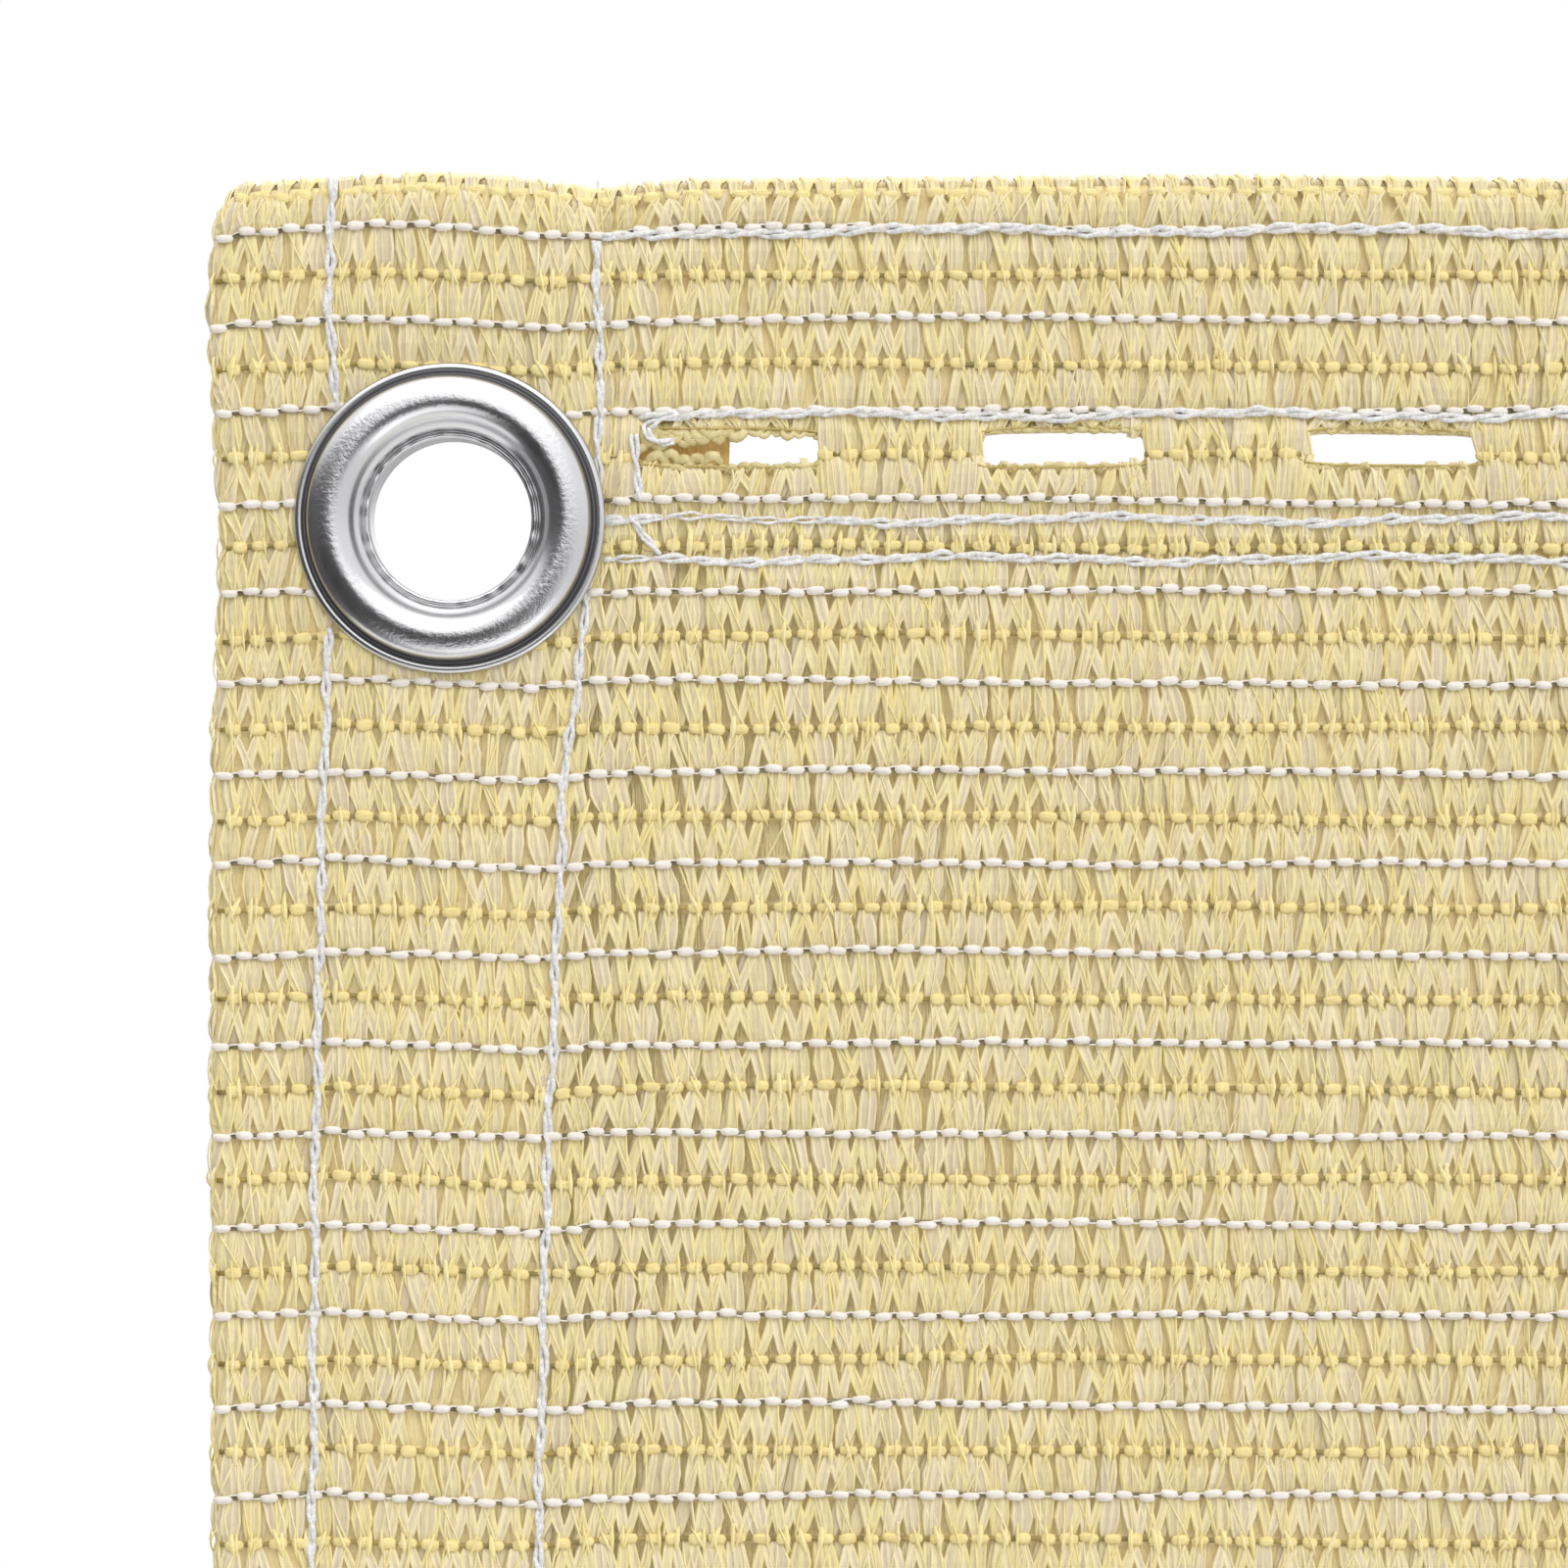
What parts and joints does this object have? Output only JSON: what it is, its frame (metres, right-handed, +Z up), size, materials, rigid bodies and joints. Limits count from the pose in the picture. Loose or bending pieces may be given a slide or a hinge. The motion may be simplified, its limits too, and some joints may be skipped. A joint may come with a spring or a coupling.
{
  "type": "balcony privacy screen",
  "caption": "Long rectangular privacy screen of knitted tape cloth with sewn hems, lacing slots along its long edges and a round metal eyelet in each corner.",
  "frame": {"origin": "middle of the top edge, on the mid-plane of the single layer of cloth", "axes": "+X along the screen's length, +Y towards its back, +Z up"},
  "size_m": [3.0006, 0.0204, 0.7508],
  "materials": {
    "knitted_cloth": "knitted flat tape in straw yellow and off-white",
    "eyelet_metal": "pressed and polished"
  },
  "bodies": {
    "root": {"cloth_field": "knitted_cloth", "band_top": "knitted_cloth", "band_bottom": "knitted_cloth", "hem_left": "knitted_cloth", "hem_right": "knitted_cloth", "eyelet_top_left": "eyelet_metal", "washer_top_left": "eyelet_metal", "eyelet_top_right": "eyelet_metal", "washer_top_right": "eyelet_metal", "eyelet_bottom_left": "eyelet_metal", "washer_bottom_left": "eyelet_metal", "eyelet_bottom_right": "eyelet_metal", "washer_bottom_right": "eyelet_metal"}
  },
  "joints": []
}
